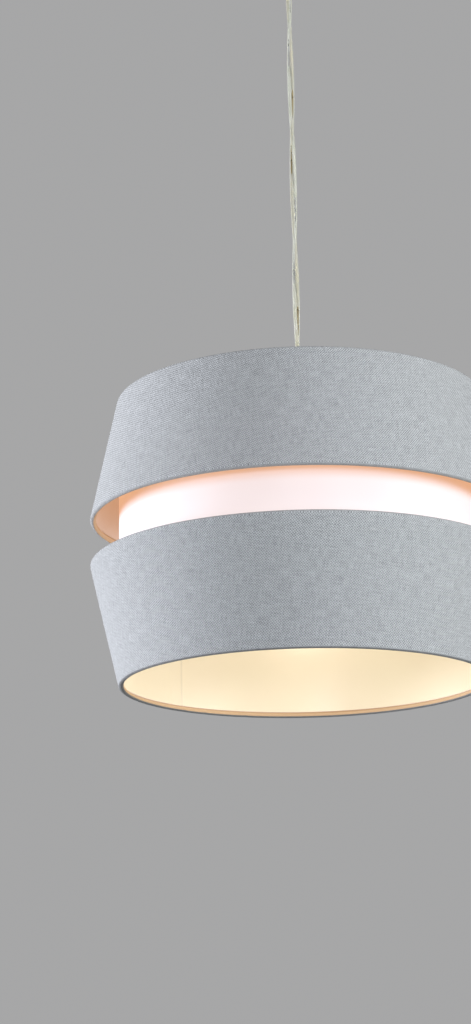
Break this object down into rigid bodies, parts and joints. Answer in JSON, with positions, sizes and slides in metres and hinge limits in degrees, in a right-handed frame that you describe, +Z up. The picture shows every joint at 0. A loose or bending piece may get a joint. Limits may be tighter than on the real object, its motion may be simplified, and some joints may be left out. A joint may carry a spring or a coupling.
{
  "type": "pendant light",
  "caption": "Tiered grey cotton drum pendant shade with a lit diffuser between its tiers, hung with lampholder and bulb on a clear flex from a ceiling rose.",
  "frame": {"origin": "centre of the ceiling rose's flat back, where it meets the ceiling", "axes": "+Z up into the ceiling, along the flex and the shade's axis; X through the live and neutral contacts"},
  "size_m": [0.3, 0.3, 0.5809],
  "materials": {
    "grey_cotton": "matt plain-weave cotton",
    "white_lining": "satin white lining sheet",
    "lit_drum": "translucent white sheet, lit from inside",
    "white_wire": "white powder coat",
    "white_plastic": "moulded, satin gloss",
    "clear_pvc": "clear flexible sheath",
    "core_brown": "soft insulation",
    "core_blue": "soft insulation",
    "brass": "bright turned",
    "steel": "spring wire",
    "nickel": "nickel plated",
    "black_insulator": "glossy black insulator",
    "board_green": "circuit board",
    "board_aluminium": "white-coated aluminium board",
    "lit_dome": "frosted diffuser, lit"
  },
  "bodies": {
    "rose": {"rose_base": "white_plastic", "terminal_block": "white_plastic", "live_terminal": "brass", "live_terminal_screw_1": "brass", "live_terminal_screw_2": "brass", "neutral_terminal": "brass", "neutral_terminal_screw_1": "brass", "neutral_terminal_screw_2": "brass", "earth_terminal": "brass", "earth_terminal_screw": "brass", "upper_core_live": "core_brown", "upper_core_neutral": "core_blue"},
    "outlet_bush": {"outlet_grommet": "white_plastic"},
    "rose_cover": {"rose_cover": "white_plastic"},
    "flex_tail": {"flex_tail": "clear_pvc"},
    "flex": {"flex": "clear_pvc"},
    "holder": {"holder_body": "white_plastic", "contact_block": "white_plastic", "plunger_spring_live": "steel", "plunger_spring_neutral": "steel", "holder_terminal_live": "brass", "holder_terminal_neutral": "brass", "holder_terminal_screw_live": "brass", "holder_terminal_screw_neutral": "brass", "lower_core_live": "core_brown", "lower_core_neutral": "core_blue"},
    "holder_cap": {"holder_cap": "white_plastic"},
    "plungers": {"contact_plunger_live": "brass", "contact_plunger_neutral": "brass"},
    "bulb": {"bulb_dome": "lit_dome", "bulb_housing": "white_plastic", "bulb_cap": "nickel", "cap_insulator": "black_insulator", "bulb_contact_live": "brass", "bulb_contact_neutral": "brass", "bayonet_pin_live": "brass", "bayonet_pin_neutral": "brass", "driver_board": "board_green", "led_board": "board_aluminium"},
    "reducer": {"reducer_ring": "white_plastic"},
    "shade": {"carrier_ring": "white_wire", "carrier_arm_1": "white_wire", "carrier_arm_2": "white_wire", "carrier_arm_3": "white_wire", "top_wire_ring": "white_wire", "upper_free_wire_ring": "white_wire", "lower_free_wire_ring": "white_wire", "bottom_wire_ring": "white_wire", "drum_diffuser": "lit_drum", "upper_tier_fabric": "grey_cotton", "upper_tier_lining": "white_lining", "lower_tier_fabric": "grey_cotton", "lower_tier_lining": "white_lining"},
    "shade_ring": {"shade_ring": "white_plastic"}
  },
  "joints": [
    {"name": "cover_drop", "type": "slide", "parent": "rose", "child": "outlet_bush", "axis": [0, 0, -1], "range_m": [0, 0.00376]},
    {"name": "cover_turn", "type": "hinge", "parent": "outlet_bush", "child": "rose_cover", "pos_m": [0, 0, -0.02], "axis": [0, 0, -1], "range_deg": [0, 450]},
    {"name": "swing_x", "type": "hinge", "parent": "rose", "child": "flex_tail", "pos_m": [0, 0, -0.036], "axis": [1, 0, 0], "range_deg": [-20, 20]},
    {"name": "swing_y", "type": "hinge", "parent": "flex_tail", "child": "flex", "pos_m": [0, 0, -0.036], "axis": [0, 1, 0], "range_deg": [-20, 20]},
    {"name": "flex_twist", "type": "hinge", "parent": "flex", "child": "holder", "pos_m": [0, 0, -0.358], "axis": [0, 0, 1], "range_deg": [-180, 180]},
    {"name": "holder_cap_lift", "type": "slide", "parent": "holder", "child": "holder_cap", "axis": [0, 0, 1], "range_m": [0, 0.03]},
    {"name": "bulb_push", "type": "slide", "parent": "holder", "child": "plungers", "axis": [0, 0, 1], "range_m": [0, 0.003], "stiffness_N_per_m": 3000, "springref_m": -0.003, "deforming": ["plunger_spring_live", "plunger_spring_neutral"]},
    {"name": "bulb_twist", "type": "hinge", "parent": "plungers", "child": "bulb", "pos_m": [0, 0, -0.3976], "axis": [0, 0, -1], "range_deg": [0, 18]},
    {"name": "shade_drop", "type": "slide", "parent": "holder", "child": "reducer", "axis": [0, 0, -1], "range_m": [0, 0.00902]},
    {"name": "ring_turn", "type": "hinge", "parent": "reducer", "child": "shade_ring", "pos_m": [0, 0, -0.395], "axis": [0, 0, -1], "range_deg": [0, 1080]},
    {"name": "shade_swivel", "type": "hinge", "parent": "reducer", "child": "shade", "pos_m": [0, 0, -0.39], "axis": [0, 0, 1], "continuous": true}
  ],
  "couplings": [
    {"joint": "cover_drop", "follows": "cover_turn", "m_per_rad": 0.00047746},
    {"joint": "shade_drop", "follows": "ring_turn", "m_per_rad": 0.00047746}
  ]
}
